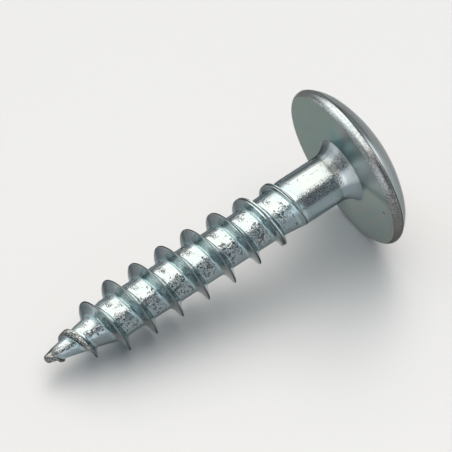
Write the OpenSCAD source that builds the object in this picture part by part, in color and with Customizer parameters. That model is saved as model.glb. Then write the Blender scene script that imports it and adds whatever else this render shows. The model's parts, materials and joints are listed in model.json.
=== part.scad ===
// Truss head wood screw, made as one piece of zinc plated steel.
// It lies on a flat surface, on the rim of its head and on one crest of its thread.
// The head points to +X and the tip to -X, and the surface under it is at Z = 0.
// The screw is drawn upright first, with the face under its head at Z = 0 and its
// tip below that, and is laid down at the end.

/* [Head] */
// Diameter of the head over its rounded rim
head_d = 12.0; // [10.5:0.1:13]
// Height of the head, from the face under it to the top of the dome
head_h = 2.82; // [2.6:0.02:3.1]
// Height of the crease between the rim and the dome
crease_h = 0.70; // [0.6:0.01:0.8]
// Height of the rim's widest line
rim_h = 0.42; // [0.36:0.01:0.46]
// Radius of the rim's rounding
rim_r = 0.50; // [0.47:0.01:0.6]
// Radius of the dome's crown
crown_r = 10.5; // [9.8:0.1:12]
// Radius of the dome's shoulder, between the crease and the crown
shoulder_r = 3.0; // [2:0.1:4]

/* [Drive recess] */
// Span of the cross where it opens
cross_span = 5.0; // [4:0.1:6]
// Width of each wing of the cross
wing_w = 1.1; // [0.9:0.05:1.4]
// Depth of the cross below the top of the dome
cross_depth = 2.5; // [1.8:0.05:2.7]
// Slope of the wings' ends from the axis
wing_slope = 26.5; // [20:0.5:28]
// Diameter of the hub between the wings, where it opens
hub_d = 2.7; // [2.2:0.05:3]
// Diameter of the hub at the foot of the wings
hub_foot_d = 1.9; // [1.4:0.05:2]
// Slope of the hub's pointed floor from level
floor_slope = 28; // [10:1:35]
// Turn of the cross about the axis
cross_turn = 45; // [30:1:60]

/* [Shank] */
// Length under the head, from its face to the tip
screw_len = 24.05; // [23.7:0.05:26]
// Diameter of the plain shank
shank_d = 3.51; // [3.3:0.01:3.8]
// Height of the flare between the shank and the head
flare_h = 1.2; // [0.8:0.05:1.6]
// Diameter of the flare where it meets the head
flare_d = 4.8; // [4.2:0.1:5.4]
// Distance from the head to the end of the plain shank
shank_end = 4.2; // [3.8:0.05:4.6]

/* [Core] */
// Distance from the head to the start of the core
core_start = 6.5; // [6:0.05:7]
// Diameter of the core at its start
core_d = 3.09; // [2.9:0.01:3.2]
// Diameter of the core at the start of the tip's cone
core_end_d = 2.95; // [2.8:0.01:3.1]
// Distance from the head to the start of the tip's cone
cone_start = 18.9; // [18:0.05:19.5]
// Radius of the blunt tip
tip_r = 0.22; // [0.15:0.01:0.3]

/* [Thread] */
// Diameter over the full thread
thread_d = 4.8; // [4.5:0.05:5.1]
// Distance from one crest to the next
pitch = 2.117; // [1.9:0.001:2.3]
// Distance from the head to the crest that the screw lies on
crest_at = 18.58; // [17.9:0.01:19.9]
// Distance from the head to where the thread leaves the shank
rise_start = 4.0; // [3.8:0.05:4.4]
// Distance from the head to where the thread stands clear of the shank
rise_end = 5.1; // [4.8:0.05:5.6]
// Diameter over the thread where it stands clear of the shank
rise_d = 4.04; // [3.8:0.02:4.3]
// Distance from the head to where the thread has its full diameter
full_start = 10.0; // [8:0.1:12]
// Distance from the head to where the thread starts to fall towards the tip
fall_start = 18.6; // [18:0.05:19]
// Distance from the head to where the thread sinks into the tip
fall_end = 23.35; // [22.8:0.05:23.4]
// Shape of that fall, from 1 for a straight line to 3 for a late drop
fall_power = 1.8; // [1:0.1:3]
// Width of the sharp crest
crest_w = 0.08; // [0.05:0.01:0.15]
// Width of the thread above its fillets
root_w = 0.66; // [0.5:0.01:0.8]
// Width of the thread's foot, inside the core
foot_w = 1.0; // [0.9:0.01:1.2]
// Height of the fillets above the core
fillet_h = 0.14; // [0.08:0.01:0.2]
// Flat steps in each turn of the thread
turn_steps = 36; // [24:4:48]

/* [Hidden] */

// Depth of the thread's foot inside the core
foot_sink = 0.12;
// Depth of the crest under the surface at the thread's two ends
end_sink = 0.06;
// Least share of its full width that the thread keeps at its ends
least_width = 0.2;
// Steps in each arc of the outline
arc_steps = 12;
// Length of a cutter outside the dome
overcut = 0.5;
zinc = [0.70, 0.74, 0.74];

// Points along an arc, from one angle to another
function arc(centre, radius, from, to) =
    [for (i = [0:arc_steps])
        let (a = from + (to - from) * i / arc_steps)
        centre + radius * [cos(a), sin(a)]];

// The rim is an arc from the face to the crease.
rim_x = head_d / 2 - rim_r;
rim_from = -asin(rim_h / rim_r);
rim_to = asin((crease_h - rim_h) / rim_r);
crease = [rim_x + rim_r * cos(rim_to), crease_h];

// The shoulder's arc starts at the crease and runs smoothly into the crown.
crown = [0, head_h - crown_r];
crease_reach = norm(crease - crown);
shoulder_reach = crown_r - shoulder_r;
crease_dir = atan2(crease[1] - crown[1], crease[0]);
shoulder_lean = acos((shoulder_reach ^ 2 + crease_reach ^ 2 - shoulder_r ^ 2)
    / (2 * shoulder_reach * crease_reach));
shoulder_dir = crease_dir + shoulder_lean;
shoulder = crown + shoulder_reach * [cos(shoulder_dir), sin(shoulder_dir)];
shoulder_from = atan2(crease[1] - shoulder[1], crease[0] - shoulder[0]);

// The flare is an arc that starts along the shank.
flare_out = (flare_d - shank_d) / 2;
flare_r = (flare_h ^ 2 + flare_out ^ 2) / (2 * flare_out);
flare = [shank_d / 2 + flare_r, -flare_h];
flare_to = 180 - asin(flare_h / flare_r);

// The tip's cone runs smoothly into its blunt end.
tip = [0, tip_r - screw_len];
cone_top = [core_end_d / 2, -cone_start];
cone_half = atan2(cone_top[0], cone_top[1] - tip[1]) - asin(tip_r / norm(cone_top - tip));
cone_foot = tip + tip_r * [cos(cone_half), -sin(cone_half)];

// Right half of the screw's outline, from the tip to the top of the dome
outline = concat(
    arc(tip, tip_r, -90, -cone_half),
    [cone_top],
    [[core_d / 2, -core_start]],
    [[shank_d / 2, -shank_end]],
    arc(flare, flare_r, 180, flare_to),
    arc([rim_x, rim_h], rim_r, rim_from, rim_to),
    arc(shoulder, shoulder_r, shoulder_from, shoulder_dir),
    arc(crown, crown_r, shoulder_dir, 90)
);

// Radius of the body, without the thread, at a distance from the head
function body_r(dist) = lookup(dist, [
    [shank_end, shank_d / 2],
    [core_start, core_d / 2],
    [cone_start, core_end_d / 2],
    [-cone_foot[1], cone_foot[0]]
]);

// Radius of the crest at a distance from the head
full_h = thread_d / 2 - body_r(fall_start);
function rising_r(dist) = lookup(dist, [
    [rise_start, shank_d / 2 - end_sink],
    [rise_end, rise_d / 2],
    [full_start, thread_d / 2]
]);
function fall(dist) = ((dist - fall_start) / (fall_end - fall_start)) ^ fall_power;
function falling_r(dist) =
    body_r(dist) + full_h - (full_h + end_sink) * fall(dist);
function crest_r(dist) = dist < fall_start ? rising_r(dist) : falling_r(dist);

// Outline of the thread at a distance from the head, from its foot to its crest
// on the tip's side and back to its foot on the head's side
function thread_section(dist) =
    let (
        core = body_r(dist),
        crest = crest_r(dist),
        share = max(least_width, (crest - core) / full_h),
        root = min(core + fillet_h * share, crest - crest_w / 2)
    )
    [
        [core - foot_sink, -foot_w / 2 * share],
        [root, -root_w / 2 * share],
        [crest, -crest_w / 2],
        [crest, crest_w / 2],
        [root, root_w / 2 * share],
        [core - foot_sink, foot_w / 2 * share]
    ];

// The thread is right-handed, and starts at the tip.
thread_steps = round((fall_end - rise_start) / pitch * turn_steps);
function step_dist(i) = fall_end - (fall_end - rise_start) * i / thread_steps;
function step_turn(i) = 360 * (crest_at - step_dist(i)) / pitch;

module thread() {
    sections = [for (i = [0:thread_steps]) thread_section(step_dist(i))];
    count = len(sections[0]);
    points = [
        for (i = [0:thread_steps])
        for (p = sections[i])
        [p[0] * cos(step_turn(i)), p[0] * sin(step_turn(i)), p[1] - step_dist(i)]
    ];
    first_end = [for (j = [count - 1:-1:0]) j];
    last_end = [for (j = [0:count - 1]) thread_steps * count + j];
    sides = [
        for (i = [0:thread_steps - 1])
        for (j = [0:count - 1])
        let (
            a = i * count + j,
            b = i * count + (j + 1) % count
        )
        each [[a, b, b + count], [a, b + count, a + count]]
    ];
    polyhedron(points, concat([first_end], sides, [last_end]), convexity = 10);
}

module body() {
    rotate_extrude($fn = 120) polygon(outline);
}

// Cutter for the cross recess in the top of the dome
module recess() {
    spread = tan(wing_slope);
    hub_spread = (hub_d - hub_foot_d) / (2 * cross_depth);
    floor_h = hub_foot_d / 2 * tan(floor_slope);
    cutter_h = cross_depth + overcut;
    translate([0, 0, head_h - cross_depth]) {
        intersection() {
            cylinder(
                h = cutter_h,
                r1 = cross_span / 2 - cross_depth * spread,
                r2 = cross_span / 2 + overcut * spread,
                $fn = 96
            );
            for (a = [0, 90])
                rotate([0, 0, a])
                    translate([-cross_span, -wing_w / 2, 0])
                        cube([2 * cross_span, wing_w, cutter_h]);
        }
        cylinder(
            h = cutter_h,
            r1 = hub_foot_d / 2,
            r2 = hub_d / 2 + overcut * hub_spread,
            $fn = 96
        );
        translate([0, 0, -floor_h])
            cylinder(h = floor_h, r1 = 0, r2 = hub_foot_d / 2, $fn = 96);
    }
}

// Slope at which the screw lies: the rim and a crest touch the surface together.
// Of the crests that face the surface, the one that meets it first carries the tip.
function lie_for(dist) =
    let (
        drop = rim_x - crest_r(dist),
        run = dist + rim_h
    )
    acos(-rim_r / norm([drop, run])) - atan2(run, drop);
lie = min([for (k = [-1:1]) lie_for(crest_at + k * pitch)]);

// Place of the head's face, so that the middle of the screw's length is at X = 0
face_z = rim_r + rim_x * cos(lie) - rim_h * sin(lie);
crown_x = crown[1] * cos(lie) + crown_r;
tip_x = tip[1] * cos(lie) - tip_r;
face_x = -(crown_x + tip_x) / 2;

module truss_head_screw() {
    color(zinc)
        translate([face_x, 0, face_z])
            rotate([0, 90 - lie, 0])
                difference() {
                    union() {
                        body();
                        thread();
                    }
                    rotate([0, 0, cross_turn]) recess();
                }
}

truss_head_screw();
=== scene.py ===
"""Looks of a zinc plated truss head wood screw, which lies on a pale surface.

The screw is one piece of steel, so one mesh stands for it. Its grid follows the thread:
each row is a step around the screw, and each column a line along the crest or a flank.
The screw is made upright, with the face under its head at Z = 0 and its tip below that,
and its mesh is laid down where the CAD model lies. Sizes are in millimetres, and the
mesh is in metres.
"""

import json
import math
from types import SimpleNamespace

import bpy
import numpy as np
from mathutils import Matrix, Vector, noise


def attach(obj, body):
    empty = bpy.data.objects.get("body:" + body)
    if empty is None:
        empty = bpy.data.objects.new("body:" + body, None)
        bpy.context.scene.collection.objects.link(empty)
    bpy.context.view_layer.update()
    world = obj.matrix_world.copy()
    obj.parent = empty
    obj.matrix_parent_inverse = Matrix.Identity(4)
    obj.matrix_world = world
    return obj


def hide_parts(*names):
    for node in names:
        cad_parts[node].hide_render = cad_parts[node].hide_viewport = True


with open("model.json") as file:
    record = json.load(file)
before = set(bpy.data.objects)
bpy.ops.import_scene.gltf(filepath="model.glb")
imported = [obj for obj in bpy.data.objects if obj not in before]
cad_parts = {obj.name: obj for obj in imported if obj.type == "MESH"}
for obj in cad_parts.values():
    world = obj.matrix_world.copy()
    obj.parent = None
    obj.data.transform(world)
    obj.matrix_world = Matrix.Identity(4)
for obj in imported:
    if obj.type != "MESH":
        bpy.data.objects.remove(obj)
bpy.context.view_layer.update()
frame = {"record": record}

MM = 0.001

# Place of the screw, from the record: the middle of the face under its head, and its axis
BEARING = next(m for m in frame["record"]["mounts"] if m["name"] == "bearing_face")
FACE = Vector((BEARING["pos_m"][0], 0, BEARING["pos_m"][2]))
AXIS = -Vector(BEARING["axis"]).normalized()
SIDE = Vector((0, 1, 0))

# Head
HEAD_R = 6.0
HEAD_H = 2.82
CREASE_H = 0.70
RIM_H = 0.42
RIM_R = 0.50
CROWN_R = 10.5
SHOULDER_R = 3.0

# Depth of the groove in the crease, and the degrees of the shoulder's arc that it takes up
GROOVE = 0.05
GROOVE_TURN = 0.4

# Cross recess
CROSS_SPAN = 5.0
WING_W = 1.1
CROSS_DEPTH = 2.5
WING_SLOPE = 26.5
HUB_D = 2.7
HUB_FOOT_D = 1.9
FLOOR_SLOPE = 28
CROSS_TURN = 45
WING_TAPER = 0.06
BEVEL = 0.06

# Distances below the top of the dome at which the recess's walls end and its bevel has its
# outline, rise of the bevel's edge as a share of its width, and length of the cutter above
WALL_END = 0.5
BEVEL_AT = 0.2
BEVEL_RISE = 0.3
OVERCUT = 0.5

# Shank and core, with distances from the face under the head
SCREW_LEN = 24.05
SHANK_R = 1.755
FLARE_H = 1.2
FLARE_R = 2.4
SHANK_END = 4.2
CORE_START = 6.5
CORE_R = 1.545
CORE_END_R = 1.475
CONE_START = 18.9

# Power of the curve by which the shank steps down to the core
STEP_POWER = 1.6

# Thread
PITCH = 2.117
CREST_AT = 18.58
THREAD_R = 2.4
RISE_START = 4.0
RISE_END = 5.1
RISE_R = 2.02
FULL_START = 10.0
FALL_START = 18.6
FALL_END = 23.75
END_SINK = 0.06
LEAST_SHARE = 0.1
FLANK_W = 0.31
TIP_FILLET = (0.36, 0.26)
HEAD_FILLET = (0.21, 0.16)
EDGE_W = 0.02
EDGE_SHARE = 0.96

# Seam along the crest: its depth, where it ends and over what length it fades, and the
# least height of the thread that its depth is measured against
SEAM_DEPTH = 0.05
SEAM_END = 9.8
SEAM_FADE = 1.5
SEAM_LEAST_H = 0.3

# Nicks of the crest: their depth, how many times more it is on the worn ridge of the tip,
# where that ridge starts, and how fast the nicks follow each other in a turn
NICK = 0.014
WORN_NICK = 4
WORN_RIDGE = (20.8, 21.6)
NICK_RATE = 9.0

# Sway of the crest along the screw: its size and rate as shares of those of the nicks, and
# the place of its noise beside theirs
SWAY = 0.5
SWAY_RATE = 0.6
SWAY_SHIFT = Vector((0, 7, 0))

# Noise of the nicks and of the sway: (roughness, step from one octave to the next, octaves)
NICK_NOISE = (0.8, 2.2, 4)
SWAY_NOISE = (0.8, 2.0, 3)

# Radius of the crest as it rises out of the shank: (distance, radius)
RISE = ((RISE_START, SHANK_R - END_SINK), (RISE_END, RISE_R), (FULL_START, THREAD_R))

# Share of its full height that the thread keeps as it falls to the tip: (distance, share)
FALL = (
    (18.6, 1.0), (19.0, 0.94), (19.95, 0.88), (21.03, 0.68), (22.07, 0.32), (23.1, 0.20),
    (23.75, 0.0),
)

# Half width of the crest along the screw, widest where the thread is not full: (distance, width)
CREST = (
    (4.0, 0.06), (5.1, 0.11), (5.9, 0.16), (6.6, 0.16), (7.4, 0.11), (8.3, 0.07), (10.0, 0.035),
    (20.9, 0.035), (21.5, 0.09), (22.1, 0.19), (22.7, 0.12), (23.7, 0.05),
)

# Radius of the tip's cone: (distance, radius), and the distances over which it is smoothed
CONE = (
    (18.9, 1.475), (19.5, 1.34), (20.1, 1.16), (20.6, 1.04), (21.25, 0.92), (22.0, 0.74),
    (22.75, 0.57), (23.2, 0.48), (23.5, 0.40), (23.8, 0.29),
)
CONE_BLUR = (-0.2, -0.1, 0, 0.1, 0.2)

# The tip leans off the axis a little: where it starts, how far it gets at the end, and where to
LEAN_START = 20.0
LEAN = 0.12
LEAN_TO = (-0.596, 0.803)

# Angle around the screw, in degrees, from which its worn places and its painted highlights, reflections
# and shade are counted
WEAR_AND_SHADE_SIDE = 216.6

# Steps of the mesh: around the screw, in an arc and in the crown's arc
TURN_STEPS = 144
ARC_STEPS = 14
CROWN_STEPS = 20

# Points along the shank, the face and the blunt end of the tip
SHANK_POINTS = 12
FACE_POINTS = 14
TIP_POINTS = 9

# Distances of the rings between which the thread's grid lies
RING_TOP = 3.7
RING_TIP = 23.8

# Columns along a flank, its fillet and the root, as shares of their widths
FLANK_STOPS = (0.15, 0.35, 0.55, 0.75, 0.9, 1.0)
FILLET_STOPS = (0.2, 0.4, 0.6, 0.8, 1.0)
ROOT_STOPS = (0.3, 0.65)

# Points along the hub's arc, the side and the end of a wing of the cross, and rings of its walls
HUB_POINTS = 7
WING_POINTS = 7
END_POINTS = 5
WALL_RINGS = 5

# Angle from which an edge is shaded as a sharp one
SHARP_ANGLE = 35

# View of the photograph, which is taken as 452 by 452 pixels
PHOTO_PX = 452
FOCAL_PX = 2919.7
FACE_PX = (341.92, 170.32)
FACE_DEPTH = 196.59
VIEW_AZIMUTH = -34.15
VIEW_ELEVATION = 45.794
SENSOR = 36.0
CLIP_START = 0.01

# Studio, with the floor's half size in metres
FLOOR_HALF = 1.5
FLOOR_COLOUR = (0.50, 0.53, 0.56)
FLOOR_IOR = 3.2
FLOOR_ROUGH = 0.5
KEY_HEIGHT = 300
KEY_FROM = (-160, -212)
KEY_TO = (300, 500)
KEY_RADIANCE = (1.72, 1.60, 1.47)
ROOM = (0.16, 0.17, 0.18)

# Lighter sides of the room: (azimuth, elevation, inner and outer angle, light)
SIDES = (
    (180, 20, 20, 70, (0.26, 0.28, 0.30)),
    (-112, 10, 12, 34, (0.95, 1.02, 1.10)),
    (150, 32, 14, 42, (1.15, 1.17, 1.18)),
    (-6, 15, 9, 18, (2.60, 2.65, 2.70)),
    (30, 33, 12, 25, (1.15, 1.15, 1.12)),
    (-150, 5, 8, 22, (0.80, 0.85, 0.88)),
    (92, 17, 4, 16, (0.80, 0.82, 0.83)),
    (168, 26, 7, 17, (0.75, 0.80, 0.83)),
)

# Colours of the plating in general
BRIGHT = (0.52, 0.58, 0.59)
BLUISH = (0.49, 0.57, 0.60)
# Painted shade: darker colours for the screw's lower side and for its top side
LOW_SIDE_SHADE = (0.30, 0.375, 0.405)
TOP_SIDE_SHADE = (0.33, 0.37, 0.38)
BROWN = (0.25, 0.21, 0.19)
DULL = (0.16, 0.165, 0.16)
DARK = (0.10, 0.11, 0.11)
BLACK = (0.03, 0.03, 0.03)

# Colours of the thread
FLANK = (0.37, 0.47, 0.495)
# Painted reflection of the core's highlight in the flank, then painted light on its high and middle
# parts
FLANK_REFLECTION = (0.62, 0.74, 0.75)
HIGH_FLANK = (0.55, 0.65, 0.67)
MIDDLE_FLANK = (0.50, 0.63, 0.65)
# Painted light on the flank's lower side, darker on the first turns, and painted shade on its top side
FIRST_LOW_FLANK = (0.30, 0.35, 0.36)
LOW_FLANK = (0.68, 0.67, 0.64)
TOP_FLANK = (0.27, 0.30, 0.315)
HEAD_FLANK = (0.60, 0.72, 0.74)
SMEARED = (0.84, 0.80, 0.78)
# Painted shade and reflection: teal in the corner at the thread's foot. Then painted light and painted
# shade low on the flanks, by their side
FOOT = (0.42, 0.57, 0.59)
BRIGHT_FOOT = (0.76, 0.93, 0.94)
DARK_FOOT = (0.20, 0.26, 0.27)
# Painted highlight of the crest where it faces the light, painted shade on its top, and a darker tint
# towards the top
CREST_EDGE = (0.21, 0.245, 0.245)
CREST_TOP_SHADE = (0.11, 0.10, 0.095)
CREST_SHADE = (0.62, 0.62, 0.63)
# Painted highlight: a thin light line on the crest's side to the head
LIP_HIGHLIGHT = (0.86, 0.88, 0.87)

# Colours of the face under the head
MATT = (0.165, 0.245, 0.23)
# Painted light on the face's lower side, painted teal reflections of the flare next to it (the next
# three), and painted shade where the flare's glint would reflect
LOW_MATT = (0.44, 0.515, 0.505)
MATT_NEAR_FLARE = (0.21, 0.39, 0.41)
DEEP_TEAL = (0.12, 0.27, 0.29)
LIGHT_TEAL = (0.35, 0.70, 0.72)
MATT_SHADE = (0.58, 0.70, 0.68)
COOL_MOTTLE = (0.88, 1.03, 1.03)
WARM_MOTTLE = (1.15, 1.0, 0.92)
FINE_MOTTLE = (0.84, 0.84, 0.83)

# Colours of the flare
# Painted glints of the flare, then painted shade on its top side and across its highlight
GLINT = (0.75, 0.81, 0.81)
GLINT_START = (0.97, 0.99, 0.97)
FLARE_SIDE = (0.16, 0.18, 0.18)
FLARE_SHADE = (0.70, 0.70, 0.70)
# Painted dark reflection at the end of the flare's highlight, where its scrape strokes also lie
DARK_REFLECTION = (0.22, 0.23, 0.23)
DARK_REFLECTION_START = (0.12, 0.15, 0.16)

# Colours of the dome and the rim
DOME = (0.37, 0.40, 0.40)
# The rim away from its highlight: worn and grimy, and darker too as painted shade
WORN_AND_SHADED = (0.25, 0.25, 0.24)
GRIMY_AND_SHADED = (0.13, 0.125, 0.12)
# Painted reflection on the rim's side to the face
RIM_REFLECTION = (0.56, 0.56, 0.54)
FLECK = (0.75, 0.76, 0.73)
GREY_GRAIN = (0.42, 0.42, 0.41)

# Colours of the marks on the core and the tip
PIT_EDGE = (0.82, 0.85, 0.85)
CONE_SHADE = (0.80, 0.76, 0.75)
RIDGE = (0.16, 0.15, 0.14)
RIDGE_FLAKE = (0.80, 0.82, 0.80)
TIP_END = (0.22, 0.20, 0.185)

# Tints of the metal at a grazing view, some of which paint light and shade on set sides
GRAZING = (0.55, 0.57, 0.58)
GRAZING_FACE = (0.7, 0.7, 0.7)
GRAZING_CREST = (0.1, 0.1, 0.1)
# Painted shade on the top side and on the face, painted teal reflections on the face, and painted shade
# on the rim's low end
GRAZING_TOP = (0.4, 0.4, 0.4)
GRAZING_SHADE = (0.25, 0.32, 0.32)
GRAZING_TEAL = (0.80, 0.98, 1.0)
GRAZING_LIGHT_TEAL = (0.8, 1, 1)
GRAZING_LOW_RIM = (0.38, 0.38, 0.38)
WHITE = (1, 1, 1)


def stance(place, right, up, back):
    """Matrix that puts an object at a place, with its X, Y and Z along three directions."""
    return Matrix.Translation(place) @ Matrix((right, up, back)).transposed().to_4x4()


LAID_DOWN = stance(FACE, SIDE.cross(AXIS), SIDE, AXIS)


class Surface:
    """A closed surface that is built face by face, with its corners shared by name."""

    def __init__(self):
        self.points = []
        self.faces = []
        self.index = {}

    def point(self, key, place):
        if key not in self.index:
            self.index[key] = len(self.points)
            self.points.append(place)
        return self.index[key]

    def ring_point(self, key, step, r, z):
        step %= TURN_STEPS
        a = 2 * math.pi * step / TURN_STEPS
        return self.point((key, step), (r * math.cos(a), r * math.sin(a), z))

    def face(self, *corners):
        kept = [c for k, c in enumerate(corners) if c != corners[k - 1]]
        if len(set(kept)) > 2:
            self.faces.append(kept)

    def mesh(self, name):
        """A mesh in metres, laid down where the CAD model lies."""
        made = bpy.data.meshes.new(name)
        made.from_pydata([LAID_DOWN @ (Vector(p) * MM) for p in self.points], [], self.faces)
        made.validate()
        return made


def arc(centre, radius, start, end, steps=ARC_STEPS):
    """Points (r, z) along an arc, from one angle to another in degrees."""
    angles = np.radians(np.linspace(start, end, steps + 1))
    return [(centre[0] + radius * math.cos(a), centre[1] + radius * math.sin(a)) for a in angles]


def crown_height(r):
    """Height of the dome's crown at a radius."""
    return HEAD_H - CROWN_R + math.sqrt(CROWN_R ** 2 - r ** 2)


def head_outline():
    """Points (r, z) from the shank over the flare, face, rim and shoulder to the crown."""
    out = FLARE_R - SHANK_R
    flare_r = (FLARE_H ** 2 + out ** 2) / (2 * out)
    flare_to = 180 - math.degrees(math.asin(FLARE_H / flare_r))
    flare = arc((SHANK_R + flare_r, -FLARE_H), flare_r, 180, flare_to)

    rim_from = -math.degrees(math.asin(RIM_H / RIM_R))
    rim_to = math.degrees(math.asin((CREASE_H - RIM_H) / RIM_R))
    rim = arc((HEAD_R - RIM_R, RIM_H), RIM_R, rim_from, rim_to)
    crease = rim[-1]

    crown_z = HEAD_H - CROWN_R
    reach = math.hypot(crease[0], crease[1] - crown_z)
    lean = CROWN_R - SHOULDER_R
    turn = math.acos((lean ** 2 + reach ** 2 - SHOULDER_R ** 2) / (2 * lean * reach))
    top = math.atan2(crease[1] - crown_z, crease[0]) + turn
    centre = (lean * math.cos(top), crown_z + lean * math.sin(top))
    start = math.degrees(math.atan2(crease[1] - centre[1], crease[0] - centre[0]))
    shoulder = arc(centre, SHOULDER_R, start + GROOVE_TURN, math.degrees(top))
    crown = arc((0, crown_z), CROWN_R, math.degrees(top), 90, CROWN_STEPS)

    shank = [(SHANK_R, z) for z in np.linspace(-RING_TOP, -FLARE_H, SHANK_POINTS)]
    face = [(r, 0.0) for r in np.linspace(flare[-1][0], rim[0][0], FACE_POINTS)[1:-1]]
    groove = (crease[0] - GROOVE, crease[1])
    return shank[1:] + flare[1:] + face + rim[:-1] + [groove] + shoulder + crown[1:-1]


def tip_outline():
    """Points (r, z) from the end of the tip to the last ring of the cone."""
    r = body_r(RING_TIP)
    depth = SCREW_LEN - RING_TIP
    angles = np.radians(np.linspace(90, 0, TIP_POINTS)[1:-1])
    return [(r * math.cos(a), -RING_TIP - depth * math.sin(a)) for a in angles]


def station(stations, dist):
    """Value at a distance from the head, between stations of (distance, value)."""
    return float(np.interp(dist, [d for d, _ in stations], [v for _, v in stations]))


def ramp(value, low, high):
    """0 at low and 1 at high, and held there beyond them."""
    return min(1.0, max(0.0, (value - low) / (high - low)))


def body_r(dist):
    """Radius of the shank, core and cone at a distance from the head."""
    if dist > CONE_START:
        return sum(station(CONE, dist + shift) for shift in CONE_BLUR) / len(CONE_BLUR)
    step = ramp(dist, CORE_START, SHANK_END)
    core = CORE_R + (SHANK_R - CORE_R) * step ** STEP_POWER
    return core - (CORE_R - CORE_END_R) * ramp(dist, CORE_START, CONE_START)


FULL_H = THREAD_R - body_r(FALL_START)


def crest_height(dist):
    """Height of the crest over the body at a distance from the head."""
    if not RISE_START < dist < FALL_END:
        return 0.0
    if dist > FALL_START:
        return FULL_H * station(FALL, dist)
    return max(0.0, station(RISE, dist) - body_r(dist))


def flank_columns(share, crest, seam, fillet):
    """Columns from the crest out to the root: (offset, share of the ridge's height)."""
    fillet_share, fillet_w = fillet
    edge = crest + EDGE_W * share
    foot = edge + (FLANK_W - EDGE_W) * share + HEAD_FILLET[1] * math.sqrt(share)
    flank = foot - fillet_w * math.sqrt(share)
    side = [(crest * 0.3, 1.0 - 0.5 * seam), (crest * 0.6, 1.0), (crest, 0.99), (edge, EDGE_SHARE)]
    for t in FLANK_STOPS:
        side.append((edge + (flank - edge) * t, EDGE_SHARE + (fillet_share - EDGE_SHARE) * t))
    for t in FILLET_STOPS:
        side.append((flank + (foot - flank) * t, fillet_share * (1 - t) ** 2))
    for t in ROOT_STOPS:
        side.append((foot + (PITCH / 2 - foot) * t, 0.0))
    return side


def columns(height, crest, seam):
    """Columns of a row: (offset from the crest, share of the ridge's height), from tip to head."""
    share = max(LEAST_SHARE, height / FULL_H)
    tip_side = flank_columns(share, crest, seam, TIP_FILLET)
    head_side = flank_columns(share, crest, seam, HEAD_FILLET)
    turned = [(-w, h) for w, h in reversed(tip_side)]
    return [(-PITCH / 2, 0.0)] + turned + [(0.0, 1.0 - seam)] + head_side


def thread_row(turn):
    """Points (x, y, z) of the row at a number of turns from the crest that the screw lies on."""
    crest_d = CREST_AT - turn * PITCH
    height = crest_height(crest_d)
    seam = SEAM_DEPTH / max(height, SEAM_LEAST_H) * ramp(crest_d, SEAM_END, SEAM_END - SEAM_FADE)
    rough = NICK * (1 + WORN_NICK * ramp(crest_d, *WORN_RIDGE))
    along = Vector((turn * NICK_RATE, 0, 0))
    nick = rough * noise.fractal(along, *NICK_NOISE) if height else 0.0
    sway = SWAY * rough * noise.fractal(along * SWAY_RATE + SWAY_SHIFT, *SWAY_NOISE)
    angle = 2 * math.pi * turn
    row = []
    for w, h in columns(height, station(CREST, crest_d), seam):
        d = crest_d - w - sway * h
        r = body_r(d) + (height + nick) * h
        row.append((r * math.cos(angle), r * math.sin(angle), -d))
    return row


def add_thread(surface):
    """The thread and core, between the ring near the tip and the ring on the shank."""
    first = math.floor(((CREST_AT - RING_TIP) / PITCH - 1) * TURN_STEPS)
    last = math.ceil(((CREST_AT - RING_TOP) / PITCH + 1) * TURN_STEPS)
    rows = [thread_row(step / TURN_STEPS) for step in range(first, last + 1)]
    count = len(rows[0])
    tip_r = body_r(RING_TIP)

    def corner(i, j):
        """A point of the grid. Past the thread's ends it is a point of the end's ring, and the
        last column of a strip is the first one of the strip a turn further to the head."""
        if j == count:
            i, j = i + TURN_STEPS, 0
        step = first + i
        if i >= len(rows) or rows[i][j][2] > -RING_TOP:
            return surface.ring_point("top", step, SHANK_R, -RING_TOP)
        if rows[i][j][2] < -RING_TIP:
            return surface.ring_point("tip", step, tip_r, -RING_TIP)
        return surface.point((step, j), rows[i][j])

    for i in range(len(rows) - 1):
        for j in range(count):
            surface.face(corner(i, j), corner(i + 1, j), corner(i + 1, j + 1), corner(i, j + 1))


def add_revolved(surface, rings):
    """Faces between rings, each given as (name, r, z), in order from tip to head."""
    for low, high in zip(rings, rings[1:]):
        for s in range(TURN_STEPS):
            a = surface.ring_point(low[0], s, low[1], low[2])
            b = surface.ring_point(low[0], s + 1, low[1], low[2])
            c = surface.ring_point(high[0], s + 1, high[1], high[2])
            d = surface.ring_point(high[0], s, high[1], high[2])
            surface.face(a, b, c, d)


def add_end(surface, ring, z, up):
    """Triangles from a ring to a point on the axis."""
    pole = surface.point(("pole", z), (0.0, 0.0, z))
    for s in range(TURN_STEPS):
        a = surface.ring_point(ring[0], s, ring[1], ring[2])
        b = surface.ring_point(ring[0], s + 1, ring[1], ring[2])
        surface.face(*((a, b, pole) if up else (b, a, pole)))


def leaned(point):
    """A point of the screw, moved aside where the tip leans."""
    x, y, z = point
    aside = LEAN * ramp(-z, LEAN_START, SCREW_LEN)
    return (x + LEAN_TO[0] * aside, y + LEAN_TO[1] * aside, z)


def screw_mesh():
    """The whole screw without its recess, as one closed surface."""
    surface = Surface()
    tip = [(f"tip{k}", r, z) for k, (r, z) in enumerate(tip_outline())]
    tip.append(("tip", body_r(RING_TIP), -RING_TIP))
    head = [("top", SHANK_R, -RING_TOP)]
    head += [(f"head{k}", r, z) for k, (r, z) in enumerate(head_outline())]
    add_end(surface, tip[0], -SCREW_LEN, False)
    add_revolved(surface, tip)
    add_thread(surface)
    add_revolved(surface, head)
    add_end(surface, head[-1], HEAD_H, True)
    surface.points = [leaned(p) for p in surface.points]
    return surface.mesh("screw")


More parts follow.
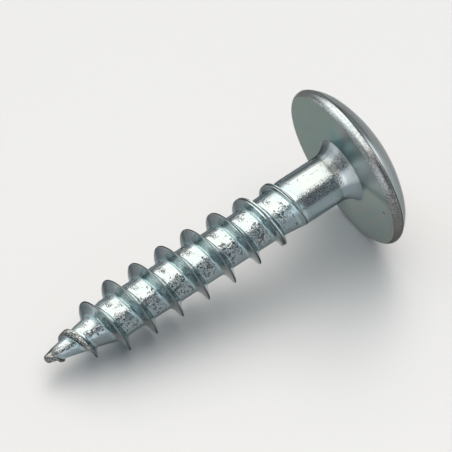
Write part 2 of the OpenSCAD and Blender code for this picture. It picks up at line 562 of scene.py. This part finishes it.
def cross_section(wing_r, half_w, hub_r):
    """Points (x, y) around a cross with a round hub, as many at every size."""
    hub_side = math.asin(half_w / hub_r)
    end_side = math.asin(half_w / wing_r)
    side_from = hub_r * math.cos(hub_side)
    side_to = wing_r * math.cos(end_side)
    wing = [(hub_r, a) for a in np.linspace(-math.pi / 4, -hub_side, HUB_POINTS)]
    for reach in np.linspace(side_from, side_to, WING_POINTS)[1:-1]:
        wing.append((math.hypot(reach, half_w), -math.atan2(half_w, reach)))
    wing += [(wing_r, a) for a in np.linspace(-end_side, 0, END_POINTS)]
    wing += [(reach, -a) for reach, a in reversed(wing[:-1])]
    points = []
    for quarter in range(4):
        turn = math.radians(CROSS_TURN + 90 * quarter)
        points += [(reach * math.cos(a + turn), reach * math.sin(a + turn)) for reach, a in wing[:-1]]
    return points


def recess_section(height, offset=0.0):
    """Outline of the recess at a height above the foot of its wings, wider by an offset."""
    wing_r = CROSS_SPAN / 2 - (CROSS_DEPTH - height) * math.tan(math.radians(WING_SLOPE))
    hub_r = (HUB_FOOT_D + (HUB_D - HUB_FOOT_D) * height / CROSS_DEPTH) / 2
    half_w = WING_W / 2 - WING_TAPER * (1 - height / CROSS_DEPTH)
    return cross_section(wing_r + offset, half_w + offset, hub_r + offset)


def recess_rings():
    """Rings of points (x, y, z) of the cutter for the recess, from its floor to above the dome."""
    foot = HEAD_H - CROSS_DEPTH
    inner = []
    for x, y in recess_section(0):
        reach = min(1.0, HUB_FOOT_D / 2 / math.hypot(x, y))
        inner.append((x * reach, y * reach, foot))
    rings = [inner]
    for height in np.linspace(0, CROSS_DEPTH - WALL_END, WALL_RINGS):
        rings.append([(x, y, foot + height) for x, y in recess_section(height)])
    for offset, rise in ((0.0, -BEVEL), (BEVEL, BEVEL_RISE * BEVEL)):
        ring = recess_section(CROSS_DEPTH - BEVEL_AT, offset)
        rings.append([(x, y, crown_height(math.hypot(x, y)) + rise) for x, y in ring])
    rings.append([(x, y, HEAD_H + OVERCUT) for x, y, _ in rings[-1]])
    return rings


def recess_mesh():
    """Cutter for the cross recess, which leaves a small bevel along the dome."""
    rings = recess_rings()
    surface = Surface()
    count = len(rings[0])
    last = len(rings) - 1
    for low in range(last):
        for k in range(count):
            corners = ((low, k), (low, (k + 1) % count), (low + 1, (k + 1) % count), (low + 1, k))
            surface.face(*(surface.point(c, rings[c[0]][c[1]]) for c in corners))
    floor_h = HUB_FOOT_D / 2 * math.tan(math.radians(FLOOR_SLOPE))
    floor = surface.point("floor", (0, 0, HEAD_H - CROSS_DEPTH - floor_h))
    top = surface.point("top", (0, 0, HEAD_H + OVERCUT))
    for k in range(count):
        after = (k + 1) % count
        surface.face(floor, surface.index[(0, after)], surface.index[(0, k)])
        surface.face(top, surface.index[(last, k)], surface.index[(last, after)])
    return surface.mesh("recess")


def cut(target, cutter):
    """Takes the cutter out of the target, and removes it."""
    cutting = target.modifiers.new("cut", "BOOLEAN")
    cutting.solver = "EXACT"
    cutting.object = cutter
    bpy.context.view_layer.update()
    shown = target.evaluated_get(bpy.context.evaluated_depsgraph_get())
    made = bpy.data.meshes.new_from_object(shown)
    target.modifiers.remove(cutting)
    target.data = made
    bpy.data.objects.remove(cutter)


def new_object(name, data):
    made = bpy.data.objects.new(name, data)
    bpy.context.scene.collection.objects.link(made)
    return made


def add_screw():
    screw = new_object("screw", screw_mesh())
    cut(screw, new_object("cutter", recess_mesh()))
    screw.data.shade_smooth()
    screw.data.set_sharp_from_angle(angle=math.radians(SHARP_ANGLE))
    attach(screw, "root")
    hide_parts("truss_head_screw")
    screw.data.materials.append(zinc())


class Nodes:
    """Short ways to add shader nodes. An input is a number, a colour or vector, or a socket.

    A share is 1 where something is and 0 where it isn't.
    """

    def __init__(self, owner):
        self.tree = owner.node_tree

    def link(self, value, socket):
        if isinstance(value, bpy.types.NodeSocket):
            self.tree.links.new(value, socket)
        elif socket.type == "RGBA":
            socket.default_value = (*value, 1)
        else:
            socket.default_value = value

    def add(self, kind, inputs=(), output=0, **settings):
        made = self.tree.nodes.new(kind)
        for key, value in settings.items():
            setattr(made, key, value)
        pairs = inputs.items() if isinstance(inputs, dict) else enumerate(inputs)
        for key, value in pairs:
            self.link(value, made.inputs[key])
        return made.outputs[output]

    def math(self, operation, *values):
        return self.add("ShaderNodeMath", values, operation=operation)

    def sum(self, *values):
        total = values[0]
        for value in values[1:]:
            total = self.math("ADD", total, value)
        return total

    def product(self, *values):
        total = values[0]
        for value in values[1:]:
            total = self.math("MULTIPLY", total, value)
        return total

    def rest(self, share):
        """What a share leaves of 1."""
        return self.math("SUBTRACT", 1, share)

    def step(self, value, low, high, start=0.0, end=1.0):
        """start up to low and end from high on, with a smooth change between them."""
        inputs = (value, low, high, start, end)
        return self.add("ShaderNodeMapRange", inputs, interpolation_type="SMOOTHSTEP")

    def fall(self, value, low, high):
        """1 up to low and 0 from high on, with a smooth change between them."""
        return self.step(value, low, high, 1, 0)

    def between(self, value, low, high, soft):
        """1 from low to high, and 0 beyond a soft edge on both sides."""
        return self.product(self.step(value, low - soft, low), self.fall(value, high, high + soft))

    def mix(self, factor, a, b):
        return self.add("ShaderNodeMix", {0: factor, 6: a, 7: b}, output=2, data_type="RGBA")

    def times(self, a, b, factor=1.0):
        """A colour multiplied by another one."""
        inputs = {0: factor, 6: a, 7: b}
        return self.add("ShaderNodeMix", inputs, output=2, data_type="RGBA", blend_type="MULTIPLY")

    def coat(self, colour, *layers):
        """A colour with layers over it, each given as (share, colour)."""
        for share, layer in layers:
            colour = self.mix(share, colour, layer)
        return colour

    def noise(self, place, size, detail=2.0, rough=0.5):
        """Noise from 0 to 1, with blots of a size in millimetres."""
        inputs = {"Vector": place, "Scale": 1 / size, "Detail": detail, "Roughness": rough}
        return self.add("ShaderNodeTexNoise", inputs)

    def vector(self, x, y, z):
        return self.add("ShaderNodeCombineXYZ", (x, y, z))


class Place:
    """Place of a point of the upright screw, in millimetres, as sockets."""

    def __init__(self, n):
        self.n = n
        laid = n.add("ShaderNodeTexCoord", output="Object")
        lie = (laid, FACE, LAID_DOWN.to_euler(), (MM, MM, MM))
        self.point = n.add("ShaderNodeMapping", lie, vector_type="TEXTURE")
        parts = n.tree.nodes.new("ShaderNodeSeparateXYZ")
        n.link(self.point, parts.inputs[0])
        x, y, z = parts.outputs
        self.x, self.y, self.z = x, y, z
        self.r = n.math("SQRT", n.sum(n.product(x, x), n.product(y, y)))
        self.dist = n.math("MULTIPLY", z, -1)
        self.round_x = n.math("DIVIDE", x, self.r)
        self.round_y = n.math("DIVIDE", y, self.r)

        # Place across the thread: 0 at a crest, PITCH at the next one towards the head
        angle = n.math("DIVIDE", n.math("ARCTAN2", y, x), 2 * math.pi)
        turns = n.math("DIVIDE", n.math("ADD", z, CREST_AT), PITCH)
        self.across = n.product(n.math("FRACT", n.math("SUBTRACT", turns, angle)), PITCH)
        self.off_crest = n.math("PINGPONG", self.across, PITCH / 2)

    def around(self, turn, inner, outer):
        """1 up to an inner angle from a line along the screw, and 0 from the outer one on."""
        a = math.radians(WEAR_AND_SHADE_SIDE + turn)
        near = self.n.sum(
            self.n.product(self.round_x, math.cos(a)), self.n.product(self.round_y, math.sin(a))
        )
        return self.n.step(near, math.cos(math.radians(outer)), math.cos(math.radians(inner)))

    def on_ring(self, radius, third):
        """A vector for noise: a point on a ring around the axis, and a third value."""
        n = self.n
        return n.vector(n.product(self.round_x, radius), n.product(self.round_y, radius), third)


def find_parts(n, at):
    """Shares of the parts of the surface."""
    above_face = n.step(at.z, 0.002, 0.004)
    below_face = n.step(at.dist, 0.002, 0.004)
    under_head = n.between(at.z, -0.002, 0.002, 0.002)
    thread = n.step(at.dist, 3.9, 4.3)
    tip = n.step(at.dist, 20.9, 21.7)
    rim = n.product(above_face, n.fall(at.z, CREASE_H - 0.03, CREASE_H - 0.01))
    return SimpleNamespace(
        under_head=under_head,
        tip=tip,
        rim=rim,
        face=n.product(under_head, n.step(at.r, FLARE_R, FLARE_R + 0.02)),
        rim_edge=n.product(above_face, n.fall(at.z, 0.08, 0.24)),
        low_rim=n.product(rim, n.rest(at.around(-40, 30, 48))),
        face_side_of_rim=n.product(rim, n.fall(at.z, 0.42, 0.58)),
        crease=n.between(at.z, CREASE_H - 0.03, CREASE_H + 0.02, 0.02),
        dome=n.step(at.z, CREASE_H - 0.01, CREASE_H + 0.01),
        flare=n.product(below_face, n.fall(at.dist, 0.7, 1.2)),
        shank=n.between(at.dist, 0.9, 4.0, 0.4),
        flank=n.product(thread, n.between(at.off_crest, 0.09, 0.38, 0.06)),
        head_side=n.fall(at.across, 0.5, 0.6),
        foot=n.product(thread, n.between(at.off_crest, 0.36, 0.46, 0.08)),
        low_foot=n.product(thread, n.step(at.r, 1.52, 1.60), n.fall(at.r, 1.65, 2.0)),
        root=n.product(thread, n.step(at.off_crest, 0.46, 0.56)),
        crest=n.product(thread, n.fall(at.off_crest, 0.03, 0.07)),
        wide_crest=n.product(
            n.between(at.dist, 5.2, 7.4, 0.5), n.fall(at.off_crest, 0.17, 0.23)
        ),
        lip=n.product(
            n.step(at.dist, 6.5, 8.5), n.between(at.across, 0.06, 0.36, 0.02),
            at.around(-26, 18, 36),
        ),
        ridge=n.product(
            tip, n.fall(at.off_crest, 0.17, 0.25), n.fall(at.dist, 23.0, 23.4)
        ),
        cone_side=n.product(at.around(52, 18, 34), n.step(at.dist, 19.2, 19.8)),
        tip_end=n.step(at.dist, 22.9, 23.3),
        near_flare=n.fall(at.r, 3.0, 5.9),
    )


def find_patterns(n, at):
    """Noise of several sizes, and noise that is drawn out along or around the screw."""
    slanted = n.vector(n.sum(at.x, n.product(at.z, 0.4)), at.y, n.product(at.across, 1.6))
    return SimpleNamespace(
        cloud=n.noise(at.point, 1.4, 3),
        clump=n.noise(at.point, 0.7, 2),
        smears=n.noise(at.point, 0.6, 4, 0.7),
        pits=n.noise(at.point, 0.24, 3, 0.65),
        peel=n.noise(at.point, 0.16, 3, 0.6),
        speck=n.noise(at.point, 0.10, 0),
        grain=n.noise(at.point, 0.09, 1, 0.6),
        fine=n.noise(at.point, 0.07, 2, 0.6),
        drawn=n.noise(at.on_ring(1.8, n.product(at.z, 0.16)), 0.055, 2, 0.6),
        strokes=n.noise(at.on_ring(1.8, n.product(at.z, 0.4)), 0.06, 2, 0.6),
        spun=n.noise(at.on_ring(2, n.product(at.r, 0.12)), 0.09, 3, 0.6),
        hashes=n.noise(slanted, 0.11, 1, 0.5),
    )


def find_wear_and_shade(n, at, on, pattern):
    """Shares of the worn, pitted and scraped places, and of the painted dark reflection on the flare and
    the painted teal reflection on the face.
    """
    more = n.sum(n.product(at.around(24, 20, 43), 0.21), n.product(n.step(at.dist, 18.5, 19.5), 0.04))
    patches = n.product(on.root, n.step(n.sum(pattern.clump, more), 0.60, 0.68))
    patches = n.product(patches, n.rest(n.product(on.tip, 0.8)))
    patches = n.product(patches, n.rest(on.cone_side))
    cluster = n.product(at.around(-42, 7, 15), n.between(at.across, 0.80, 1.08, 0.12), on.root)
    from_dot = n.math("SQRT", n.sum(
        n.math("POWER", n.math("SUBTRACT", at.x, 0.10), 2),
        n.math("POWER", n.math("ADD", at.y, 4.76), 2),
    ))
    return SimpleNamespace(
        patches=patches,
        dashes=n.product(cluster, n.step(pattern.hashes, 0.50, 0.56)),
        dot=n.product(on.under_head, n.fall(from_dot, 0.08, 0.14)),
        rough_tip=n.product(on.tip, n.step(pattern.cloud, 0.3, 0.5), at.around(-15, 16, 44)),
        tip_marks=n.sum(
            n.product(at.around(0, 5, 15), n.between(at.dist, 20.0, 20.8, 0.3)),
            n.product(at.around(0, 4, 14), n.between(at.dist, 22.0, 22.8, 0.3)),
        ),
        scraped=n.product(at.around(-15, 8, 24), n.between(at.dist, 0.3, 1.2, 0.35)),
        # painted dark reflection at the end of the flare's highlight
        dark_reflection=n.product(at.around(-16, 7, 20), n.between(at.dist, 0.05, 1.15, 0.3)),
        dark_reflection_start=n.product(at.around(-15, 4, 12), n.between(at.dist, 0.7, 1.15, 0.2)),
        scrape_line=n.product(at.around(-47, 0.6, 1.8), on.shank),
        grainy=n.product(at.around(12, 10, 24), n.between(at.dist, 1.0, 4.0, 0.3)),
        blotches=n.product(on.rim, n.step(pattern.peel, 0.48, 0.58), at.around(22, 26, 60)),
        flecks=n.product(on.rim, n.step(pattern.fine, 0.53, 0.62), at.around(18, 14, 36)),
        specks=n.step(pattern.speck, 0.77, 0.80),
        # painted reflection: the flare's teal mirror image on the face
        teal_reflection=n.product(at.around(-26, 2, 27), n.fall(at.r, 3.0, 4.8)),
    )


def relief(n, on, pattern, wear_and_shade):
    """Height of the surface's small unevenness, in millimetres."""
    peel_depth = n.sum(
        0.0012,
        n.product(on.rim, 0.004),
        n.product(on.low_rim, 0.012),
        n.product(on.root, 0.003),
        n.product(wear_and_shade.patches, 0.020),
        n.product(on.tip, 0.007),
        n.product(on.ridge, 0.09),
        n.product(wear_and_shade.grainy, 0.002),
    )
    grain_depth = n.sum(
        n.product(on.rim, 0.006),
        n.product(on.rim_edge, 0.014),
        n.product(wear_and_shade.patches, 0.006),
        n.product(wear_and_shade.grainy, 0.006),
        n.product(wear_and_shade.scraped, 0.004),
        n.product(on.tip, 0.005),
        n.product(on.crest, 0.010),
    )
    fine_depth = n.sum(0.0006, n.product(on.rim, 0.006), n.product(wear_and_shade.grainy, 0.010))
    drawn_depth = n.sum(n.product(on.shank, 0.0015), n.product(on.flare, 0.002))
    return n.sum(
        n.product(pattern.peel, peel_depth),
        n.product(pattern.grain, grain_depth),
        n.product(pattern.fine, fine_depth),
        n.product(pattern.drawn, drawn_depth),
        n.product(pattern.strokes, wear_and_shade.scraped, 0.010),
        n.product(pattern.spun, on.flank, 0.004),
        n.product(n.step(pattern.pits, 0.50, 0.55), wear_and_shade.patches, -0.03),
        n.product(wear_and_shade.dashes, -0.012),
        n.product(wear_and_shade.specks, -0.01),
    )


def flank_colour(n, at, on, pattern):
    """Colour of the thread's flanks: painted reflections, light and shade on the side to the tip, by the
    angle around the screw, with random smears over them, and one lighter colour on the side to the head.
    """
    low_flank = n.mix(n.step(at.dist, 8, 10), FIRST_LOW_FLANK, LOW_FLANK)
    colour = n.coat(
        FLANK,
        (at.around(-19, 6, 19), FLANK_REFLECTION),
        (at.around(-46, 5, 15), HIGH_FLANK),
        (at.around(2, 5, 16), MIDDLE_FLANK),
        (at.around(54, 14, 34), low_flank),
        (at.around(-85, 20, 50), TOP_FLANK),
    )
    colour = n.times(colour, SMEARED, n.step(pattern.smears, 0.50, 0.62))
    return n.mix(on.head_side, colour, HEAD_FLANK)


def crest_colour(n, at):
    """Colour of the crest, with a painted highlight where it faces the light and painted shade on its
    upper side.
    """
    colour = n.mix(at.around(-4, 22, 46), n.mix(at.around(-85, 40, 75), DULL, CREST_TOP_SHADE), CREST_EDGE)
    return n.times(colour, CREST_SHADE, at.around(-62, 16, 36))


def thread_colour(n, at, on, pattern, colour):
    """The colour so far with the thread's colours over it, many of them painted highlights, reflections
    and shade.
    """
    return n.coat(
        colour,
        (on.flank, flank_colour(n, at, on, pattern)),
        # painted shade at the foot, then painted light and shade low on the flanks
        (n.product(on.foot, 0.7), FOOT),
        (n.product(on.low_foot, at.around(6, 10, 28), 0.5), BRIGHT_FOOT),
        (n.product(on.low_foot, at.around(-66, 12, 28), 0.75), DARK_FOOT),
        (n.product(on.crest, 0.92), crest_colour(n, at)),
        (n.product(on.lip, 0.8), LIP_HIGHLIGHT),
        # the wide crest of the rising thread, darker towards the lower side
        (n.product(on.wide_crest, at.around(82, 26, 48), 0.85), DULL),
    )


def face_colour(n, at, on, pattern, wear_and_shade):
    """Colour of the face under the head: matt and mottled, with painted teal reflections of the flare
    next to it, painted light on its lower side and painted shade where the flare's glint reflects.
    """
    outer = n.step(at.r, 5.0, 5.5)
    colour = n.coat(
        MATT,
        (n.product(at.around(86, 44, 84), 0.9), LOW_MATT),
        (n.product(on.near_flare, at.around(0, 18, 42)), MATT_NEAR_FLARE),
        (n.product(wear_and_shade.teal_reflection, 0.9), DEEP_TEAL),
        (n.product(at.around(-6, 3, 18), n.fall(at.r, 4.2, 6.4), 0.75), LIGHT_TEAL),
    )
    colour = n.times(colour, MATT_SHADE, at.around(18, 7, 25))
    colour = n.times(colour, n.mix(n.step(pattern.smears, 0.42, 0.58), COOL_MOTTLE, WARM_MOTTLE))
    colour = n.times(colour, FINE_MOTTLE, n.step(pattern.fine, 0.44, 0.60))
    return n.mix(n.product(outer, n.step(pattern.grain, 0.50, 0.62), 0.5), colour, BROWN)


def flare_colour(n, at, on, wear_and_shade, colour):
    """The colour so far with the flare's painted glints, painted shade and painted dark reflection over
    it.
    """
    glint = n.product(at.around(14, 8, 24), n.between(at.dist, 0.004, 1.1, 0.15))
    glint_start = n.product(at.around(14, 8, 22), n.between(at.dist, 0.75, 1.15, 0.2))
    shade = n.product(at.around(-42, 4, 13), n.between(at.dist, 0.35, 1.15, 0.2))
    colour = n.coat(
        colour,
        (n.product(glint, 0.75), GLINT),
        (n.product(glint_start, 0.85), GLINT_START),
        (n.product(on.flare, at.around(-77, 11, 24), 0.85), FLARE_SIDE),
    )
    colour = n.times(colour, FLARE_SHADE, shade)
    return n.coat(
        colour,
        (n.product(wear_and_shade.dark_reflection, 0.7), DARK_REFLECTION),
        (n.product(wear_and_shade.dark_reflection_start, 0.75), DARK_REFLECTION_START),
    )


def head_colour(n, at, on, pattern, wear_and_shade, colour):
    """The colour so far with those of the dome, the rim and the crease over it: wear, grime and painted
    shade on the rim away from its highlight, a painted reflection on its side to the face, random grains
    and flecks, and painted shade in the crease.
    """
    return n.coat(
        colour,
        (on.dome, DOME),
        (n.product(on.rim, n.rest(at.around(-38, 24, 44)), 0.8), WORN_AND_SHADED),
        (n.product(on.rim, n.rest(at.around(-12, 34, 62)), 0.65), GRIMY_AND_SHADED),
        (n.product(on.rim, n.step(pattern.grain, 0.54, 0.66), 0.6), BROWN),
        (n.product(on.rim_edge, n.step(pattern.grain, 0.48, 0.6), 0.8), BROWN),
        (n.product(on.face_side_of_rim, at.around(15, 6, 17), 0.8), RIM_REFLECTION),
        (n.product(wear_and_shade.blotches, 0.3), DARK),
        (n.product(wear_and_shade.flecks, 0.8), FLECK),
        (n.product(on.low_rim, n.step(pattern.fine, 0.52, 0.60), 0.5), GREY_GRAIN),
        (n.product(on.low_rim, n.step(pattern.grain, 0.50, 0.58), 0.45), DARK),
        # painted shade: the crease painted dark along its groove
        (n.product(on.crease, 0.85), DARK),
    )


def marked_colour(n, at, on, pattern, wear_and_shade, colour):
    """The colour so far with the pits, scrapes and spots over it, and painted shade on the cone's lower
    side.
    """
    colour = n.coat(
        colour,
        (n.product(wear_and_shade.patches, n.between(pattern.pits, 0.485, 0.515, 0.012), 0.7), PIT_EDGE),
        (n.product(wear_and_shade.patches, n.step(pattern.pits, 0.53, 0.56), 0.85), DARK),
    )
    colour = n.times(colour, CONE_SHADE, n.product(on.cone_side, n.fall(at.dist, 21.0, 21.8)))
    flakes = n.product(n.step(pattern.peel, 0.48, 0.54), at.around(-5, 40, 75))
    return n.coat(
        colour,
        (n.product(wear_and_shade.scraped, n.step(pattern.strokes, 0.46, 0.56), 0.85), DARK),
        (n.product(wear_and_shade.scrape_line, 0.5), DARK),
        (n.product(wear_and_shade.grainy, n.step(pattern.fine, 0.46, 0.56), 0.8), DARK),
        (n.product(wear_and_shade.rough_tip, n.step(pattern.grain, 0.52, 0.62), 0.6), BROWN),
        (n.product(on.ridge, 0.9), n.mix(flakes, RIDGE, RIDGE_FLAKE)),
        (n.product(wear_and_shade.tip_marks, n.step(pattern.grain, 0.44, 0.52), 0.9), DARK),
        (n.product(on.tip_end, 0.6), TIP_END),
        (n.product(on.tip_end, n.step(pattern.grain, 0.46, 0.54), 0.8), DARK),
        (n.product(wear_and_shade.dashes, 0.8), DARK),
        (wear_and_shade.dot, BLACK),
        (n.product(wear_and_shade.specks, 0.6), DARK),
    )


def plating_colour(n, at, on, pattern, wear_and_shade):
    """Colour of the metal, with painted shade on its lower and top sides, then the colours of each part,
    many of them painted light and shade, and then the marks over it.
    """
    colour = n.coat(
        n.mix(n.step(pattern.cloud, 0.35, 0.65), BRIGHT, BLUISH),
        # painted shade on the lower side and on the top side
        (n.product(at.around(46, 10, 32), 0.85), LOW_SIDE_SHADE),
        (n.product(at.around(-84, 12, 32), 0.5), TOP_SIDE_SHADE),
    )
    colour = thread_colour(n, at, on, pattern, colour)
    colour = n.mix(on.face, colour, face_colour(n, at, on, pattern, wear_and_shade))
    colour = flare_colour(n, at, on, wear_and_shade, colour)
    colour = head_colour(n, at, on, pattern, wear_and_shade, colour)
    return marked_colour(n, at, on, pattern, wear_and_shade, colour)


def grazing_tint(n, at, on, wear_and_shade):
    """Tint of the metal at a grazing view, where plain metal would turn white. By side it also paints
    light and shade: lighter on the flanks' lower side and as the lip's highlight, darker on the top
    side, on the face where the flare's glint reflects and on the rim's low end, and teal as reflections
    on the face.
    """
    below_head = n.product(n.rest(on.face), n.step(at.dist, 0.1, 0.3))
    tint = n.coat(
        n.mix(on.face, GRAZING, GRAZING_FACE),
        (n.product(on.flank, at.around(60, 15, 35)), WHITE),
        (n.product(on.crest, 0.9), GRAZING_CREST),
        (on.lip, WHITE),
    )
    tint = n.times(tint, GRAZING_TOP, n.product(below_head, at.around(-84, 10, 26)))
    tint = n.times(tint, GRAZING_SHADE, n.product(on.face, at.around(19, 7, 24)))
    tint = n.times(tint, GRAZING_TEAL, n.product(on.face, wear_and_shade.teal_reflection))
    return n.coat(
        tint,
        (n.product(on.face, on.near_flare, at.around(-9, 4, 13)), GRAZING_LIGHT_TEAL),
        (n.product(on.rim, at.around(80, 12, 30)), GRAZING_LOW_RIM),
    )


def roughness(n, on, pattern):
    return n.sum(
        0.15,
        n.product(on.face, 0.10),
        n.product(on.rim, 0.08),
        n.product(on.dome, 0.05),
        n.product(on.flare, 0.14),
        n.product(on.crest, 0.2),
        n.product(pattern.cloud, 0.08),
    )


def zinc():
    """Bright zinc plating: glossy, grainy on the rim, pitted on the core, matt under the head."""
    material = bpy.data.materials.new("zinc")
    material.use_nodes = True
    n = Nodes(material)
    at = Place(n)
    on = find_parts(n, at)
    pattern = find_patterns(n, at)
    wear_and_shade = find_wear_and_shade(n, at, on, pattern)
    height = relief(n, on, pattern, wear_and_shade)
    bump = {"Height": height, "Distance": MM, "Strength": 1.0}
    shader = n.tree.nodes["Principled BSDF"].inputs
    n.link(n.add("ShaderNodeBump", bump), shader["Normal"])
    n.link(plating_colour(n, at, on, pattern, wear_and_shade), shader["Base Color"])
    n.link(grazing_tint(n, at, on, wear_and_shade), shader["Specular Tint"])
    n.link(n.rest(n.product(on.face, 0.25)), shader["Metallic"])
    n.link(roughness(n, on, pattern), shader["Roughness"])
    return material


def add_floor():
    half = FLOOR_HALF
    mesh = bpy.data.meshes.new("floor")
    corners = [(-half, -half, 0), (half, -half, 0), (half, half, 0), (-half, half, 0)]
    mesh.from_pydata(corners, [], [(0, 1, 2, 3)])
    floor = new_object("floor", mesh)
    material = bpy.data.materials.new("floor")
    material.use_nodes = True
    shader = material.node_tree.nodes["Principled BSDF"].inputs
    shader["Base Color"].default_value = (*FLOOR_COLOUR, 1)
    shader["IOR"].default_value = FLOOR_IOR
    shader["Roughness"].default_value = FLOOR_ROUGH
    mesh.materials.append(material)


def add_camera():
    """The photograph's camera: level, at its angle, with the head's face at its place in the picture."""
    data = bpy.data.cameras.new("camera")
    data.sensor_width = SENSOR
    data.lens = FOCAL_PX / PHOTO_PX * SENSOR
    data.clip_start = CLIP_START
    camera = new_object("camera", data)
    a, e = math.radians(VIEW_AZIMUTH), math.radians(VIEW_ELEVATION)
    back = Vector((math.sin(a) * math.cos(e), -math.cos(a) * math.cos(e), math.sin(e)))
    right = Vector((math.cos(a), math.sin(a), 0))
    up = back.cross(right)
    per_px = FACE_DEPTH * MM / FOCAL_PX
    across = (FACE_PX[0] - PHOTO_PX / 2) * per_px
    down = (FACE_PX[1] - PHOTO_PX / 2) * per_px
    place = FACE - right * across + up * down + back * FACE_DEPTH * MM
    camera.matrix_world = stance(place, right, up, back)
    bpy.context.scene.camera = camera


def add_key():
    """The large softbox over the screw, level, reaching further to the head and to the far side."""
    data = bpy.data.lights.new("key", "AREA")
    data.shape = "RECTANGLE"
    low, high = Vector(KEY_FROM), Vector(KEY_TO)
    size = high - low
    data.size = size.x * MM
    data.size_y = size.y * MM
    strength = max(KEY_RADIANCE)
    data.color = [part / strength for part in KEY_RADIANCE]
    data.energy = strength * math.pi * data.size * data.size_y
    lamp = new_object("key", data)
    lamp.visible_camera = False
    middle = (low + high) / 2
    lamp.location = Vector((middle.x, middle.y, KEY_HEIGHT)) * MM


def add_world():
    """A grey room with soft lighter sides, in directions that stay put as the view turns."""
    world = bpy.data.worlds.new("studio")
    world.use_nodes = True
    n = Nodes(world)
    towards = n.add("ShaderNodeTexCoord", output="Generated")
    colour = ROOM
    for azimuth, elevation, inner, outer, light in SIDES:
        a, e = math.radians(azimuth), math.radians(elevation)
        middle = (math.cos(a) * math.cos(e), math.sin(a) * math.cos(e), math.sin(e))
        near = n.add("ShaderNodeVectorMath", (towards, middle), "Value", operation="DOT_PRODUCT")
        share = n.step(near, math.cos(math.radians(outer)), math.cos(math.radians(inner)))
        colour = n.mix(share, colour, light)
    n.link(colour, n.tree.nodes["Background"].inputs["Color"])
    bpy.context.scene.world = world


add_screw()
add_floor()
add_camera()
add_key()
add_world()
bpy.context.scene.view_settings.view_transform = "Standard"
